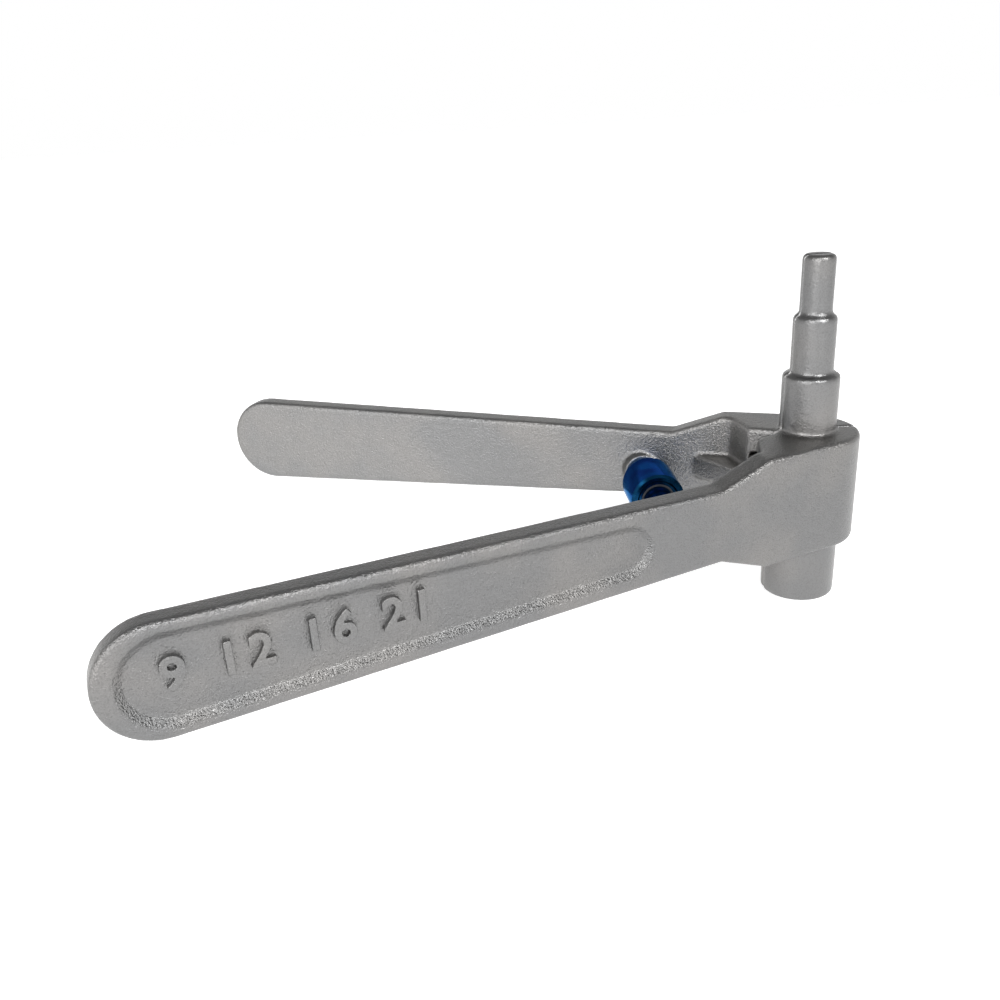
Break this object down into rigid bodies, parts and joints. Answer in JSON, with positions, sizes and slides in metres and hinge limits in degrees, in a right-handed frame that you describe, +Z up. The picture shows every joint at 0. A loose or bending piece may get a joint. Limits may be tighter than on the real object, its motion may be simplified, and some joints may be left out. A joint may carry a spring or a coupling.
{
  "type": "flaring tool",
  "caption": "Hand flaring tool: two cast handles hinged at a head whose split, stepped mandrel spreads when they are squeezed.",
  "frame": {"origin": "on the mandrel's axis, where the 16 mm step starts at the top of its root fillet, 0.8 mm above the head's top face", "axes": "+Z up along the mandrel, handles towards -X, the tool's middle plane is XZ, the near handle is on the -Y side"},
  "size_m": [0.1977, 0.174, 0.1012],
  "materials": {
    "cast_steel": "satin, fine blasted",
    "ground_steel": "ground",
    "spring_steel": "drawn wire",
    "bronze": "turned",
    "blue_steel": "glossy blue coating",
    "blue_steel_dark": "glossy blue coating",
    "wiper_rubber": "matte"
  },
  "bodies": {
    "near_half": {"near_handle": "cast_steel", "pivot_pin": "ground_steel", "pin_clip": "spring_steel", "thrust_washers": "bronze", "plunger_seat": "ground_steel"},
    "far_half": {"far_handle": "cast_steel", "tongue_bush": "bronze", "spring_cup": "blue_steel", "cup_gland": "blue_steel_dark", "plunger_wiper": "wiper_rubber", "return_spring": "spring_steel"},
    "plunger": {"spring_plunger": "blue_steel"}
  },
  "joints": [
    {"name": "handle_squeeze", "type": "hinge", "parent": "near_half", "child": "far_half", "pos_m": [-0.0115, 0, -0.017], "axis": [0, 0, 1], "range_deg": [0, 22], "stiffness_Nm_per_rad": 2, "springref_deg": -20.05},
    {"name": "plunger_slide", "type": "slide", "parent": "far_half", "child": "plunger", "axis": [0, 1, 0], "range_m": [0, 0.0136], "deforming": ["return_spring"]}
  ],
  "couplings": [
    {"joint": "plunger_slide", "follows": "handle_squeeze", "m_per_rad": 0.0352}
  ]
}
